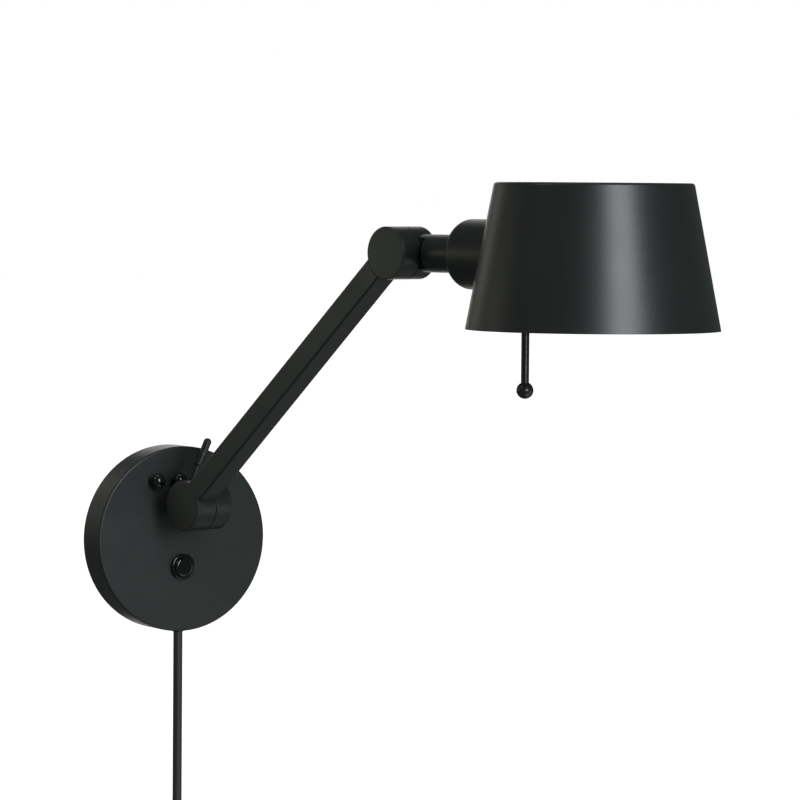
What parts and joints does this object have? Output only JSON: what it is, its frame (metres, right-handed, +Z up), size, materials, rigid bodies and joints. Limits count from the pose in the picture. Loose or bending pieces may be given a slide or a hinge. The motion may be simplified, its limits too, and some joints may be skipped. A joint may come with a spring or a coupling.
{
  "type": "swing arm wall lamp",
  "caption": "Swing arm wall lamp with a round canopy, a square arm between two tilt joints, a conical shade with a hanging handle, a push button and a mains cord.",
  "frame": {"origin": "centre of the canopy on the wall, at the middle of the wall plate's two slots", "axes": "+Z up, +Y into the wall along the plate's normal, the lamp stands out along -Y"},
  "size_m": [0.2252, 0.4789, 0.6122],
  "materials": {
    "black_enamel": "satin powder coat",
    "black_gloss": "gloss",
    "steel": "plain",
    "zinc": "zinc plated",
    "brass": "plain",
    "black_plastic": "gloss moulded",
    "switch_plastic": "matte moulded",
    "nylon": "natural",
    "cord_sheath": "satin",
    "lead_insulation": "plain",
    "holder_plastic": "moulded",
    "shade_paint": "satin outside, white inside",
    "frosted": "frosted",
    "chrome_pins": "plated"
  },
  "bodies": {
    "canopy": {"wall_plate": "zinc", "canopy_studs": "zinc", "canopy_shell": "black_enamel", "canopy_ball_nuts": "black_gloss", "swing_fork": "black_enamel", "swing_fork_nut": "zinc", "swing_pin": "black_gloss", "switch_bezel": "black_gloss", "switch_ring_nut": "zinc", "switch_body": "switch_plastic", "switch_spring": "steel", "terminal_block": "nylon", "canopy_leads": "lead_insulation", "cord_strain_relief": "black_plastic", "mains_cord": "cord_sheath", "cord_tail": "cord_sheath", "cord_coil": "cord_sheath", "cord_tie": "black_plastic", "plug_body": "black_plastic", "plug_pins": "chrome_pins"},
    "push_button": {"switch_button": "black_gloss"},
    "swing_lever": {"swing_lock_lever": "black_gloss"},
    "swing_base": {"base_knuckle": "black_enamel", "swing_washers": "nylon", "base_cap_wall_side": "black_enamel", "base_pivot_bolt": "steel", "base_pivot_nut": "zinc", "base_spring_washer": "steel", "base_friction_washer": "nylon"},
    "arm": {"arm_tube": "black_enamel", "arm_lower_knuckle": "black_enamel", "arm_upper_knuckle": "black_enamel", "arm_screws": "steel", "arm_leads": "lead_insulation", "base_cap_arm_side": "black_enamel", "elbow_cap_arm_side": "black_enamel"},
    "head": {"head_knuckle": "black_enamel", "elbow_cap_head_side": "black_enamel", "elbow_pivot_bolt": "steel", "elbow_pivot_nut": "zinc", "elbow_spring_washer": "steel", "elbow_friction_washer": "nylon", "head_tube": "black_enamel", "swivel_spindle": "brass", "swivel_nut": "zinc", "swivel_washer": "steel"},
    "shade": {"lampholder_cup": "black_enamel", "lampholder_body": "holder_plastic", "lampholder_contacts": "brass", "shade_shell": "shade_paint", "shade_saddle_ring": "switch_plastic", "shade_ring_nut": "holder_plastic", "bulb_screw_cap": "brass", "bulb_globe": "frosted", "handle_collar": "black_enamel", "handle_rod": "black_enamel", "handle_ball": "black_enamel"}
  },
  "joints": [
    {"name": "swing", "type": "hinge", "parent": "canopy", "child": "swing_base", "pos_m": [0, -0.031, 0.025], "axis": [0, 0, 1], "range_deg": [-32, 65]},
    {"name": "base_tilt", "type": "hinge", "parent": "swing_base", "child": "arm", "pos_m": [0.00463, -0.05189, 0.025], "axis": [-0.9763, -0.2164, 0], "range_deg": [-71, 35]},
    {"name": "elbow_tilt", "type": "hinge", "parent": "arm", "child": "head", "pos_m": [0.04727, -0.2442, 0.19623], "axis": [-0.9763, -0.2164, 0], "range_deg": [-75, 45]},
    {"name": "shade_swivel", "type": "hinge", "parent": "head", "child": "shade", "pos_m": [0.05809, -0.29302, 0.19623], "axis": [0.2164, -0.9763, 0], "range_deg": [-60, 60]},
    {"name": "button_press", "type": "slide", "parent": "canopy", "child": "push_button", "axis": [0, 1, 0], "range_m": [0, 0.0025], "stiffness_N_per_m": 400, "springref_m": -0.002},
    {"name": "lever_turn", "type": "hinge", "parent": "canopy", "child": "swing_lever", "pos_m": [0, -0.031, 0.0342], "axis": [0, 0, 1], "range_deg": [-45, 0]}
  ]
}
